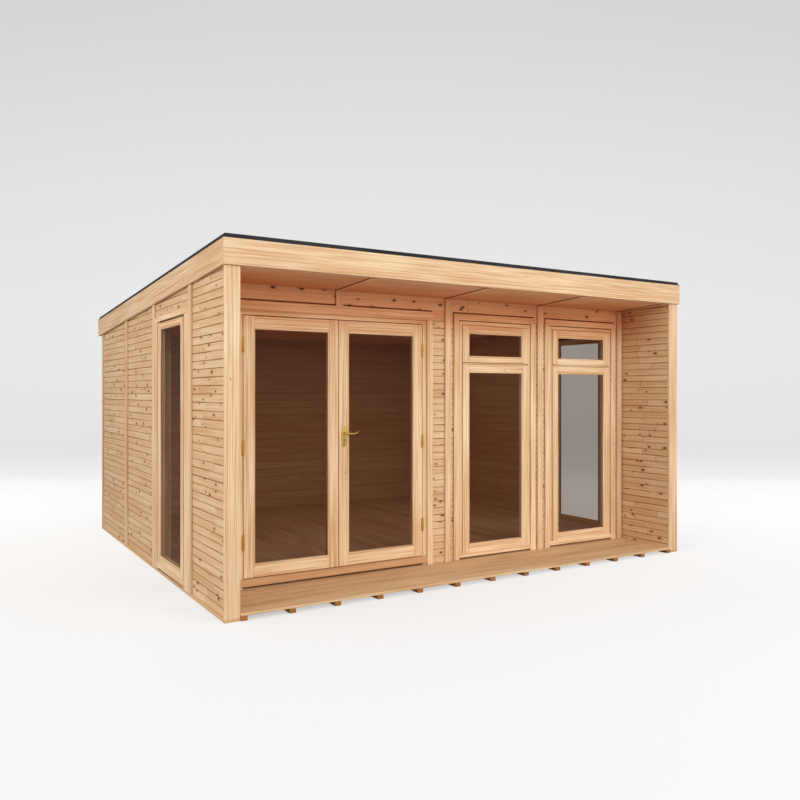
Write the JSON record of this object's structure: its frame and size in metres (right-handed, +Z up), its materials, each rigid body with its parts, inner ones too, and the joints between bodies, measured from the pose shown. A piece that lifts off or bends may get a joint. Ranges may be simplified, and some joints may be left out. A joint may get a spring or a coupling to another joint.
{
  "type": "garden office pod",
  "caption": "Timber garden office with a mono-pitch roof, a recessed veranda between wing walls, glazed double doors and full-height windows.",
  "frame": {"origin": "middle of the footprint over the fascia boards, at ground level", "axes": "+X to the right along the front, +Y from the front to the back, +Z up"},
  "size_m": [4.36, 4.236, 2.5],
  "materials": {
    "cladding": "natural, sawn and planed softwood",
    "trim_timber": "natural, planed softwood",
    "joinery": "natural, planed softwood",
    "deck_boards": "natural, planed softwood",
    "floor_boards": "natural, planed softwood",
    "bearer_timber": "pressure treated, sawn",
    "roof_timber": "natural, planed softwood",
    "soffit_boards": "natural, planed softwood",
    "membrane": "satin, black rubber",
    "tinted_glass": "bronze tint, polished",
    "brass": "polished, lacquered"
  },
  "bodies": {
    "building": {"floor_bearers": "bearer_timber", "room_floor": "floor_boards", "veranda_deck": "deck_boards", "left_front_panel": "cladding", "left_rear_panel": "cladding", "left_over_window": "cladding", "right_front_panel": "cladding", "right_rear_panel": "cladding", "right_over_window": "cladding", "rear_wall": "cladding", "front_pier_left": "cladding", "front_pier_middle": "cladding", "front_pier_between_windows": "cladding", "front_pier_right": "cladding", "front_header": "cladding", "post_left": "trim_timber", "post_right": "trim_timber", "left_battens": "trim_timber", "right_battens": "trim_timber", "front_battens": "trim_timber", "rear_battens": "trim_timber", "roof_panel": "roof_timber", "roof_membrane": "membrane", "ceiling_boards": "soffit_boards", "fascia_front": "trim_timber", "fascia_rear": "trim_timber", "fascia_left": "trim_timber", "fascia_right": "trim_timber", "door_frame_left": "joinery", "door_frame_right": "joinery", "door_frame_head": "joinery", "door_threshold": "joinery", "frame_hinges": "brass", "front_window_frames": "joinery", "front_window_sashes": "joinery", "front_window_glass": "tinted_glass", "left_window_frame": "joinery", "left_window_sash": "joinery", "left_window_glass": "tinted_glass", "right_window_frame": "joinery", "right_window_sash": "joinery", "right_window_glass": "tinted_glass"},
    "left_door": {"door_leaf_left": "joinery", "door_glass_left": "tinted_glass", "left_leaf_hinges": "brass"},
    "right_door": {"door_leaf_right": "joinery", "door_glass_right": "tinted_glass", "right_leaf_hinges": "brass", "handle_plates": "brass"},
    "lever": {"handle_lever": "brass"}
  },
  "joints": [
    {"name": "left_door_hinge", "type": "hinge", "parent": "building", "child": "left_door", "pos_m": [-1.8327, -1.528, 1.08], "axis": [0, 0, -1], "range_deg": [0, 105]},
    {"name": "right_door_hinge", "type": "hinge", "parent": "building", "child": "right_door", "pos_m": [-0.2833, -1.528, 1.08], "axis": [0, 0, 1], "range_deg": [0, 105]},
    {"name": "lever_turn", "type": "hinge", "parent": "right_door", "child": "lever", "pos_m": [-1.0113, -1.521, 1.1594], "axis": [0, 1, 0], "range_deg": [0, 40], "stiffness_Nm_per_rad": 1.5, "springref_deg": -28.65}
  ]
}
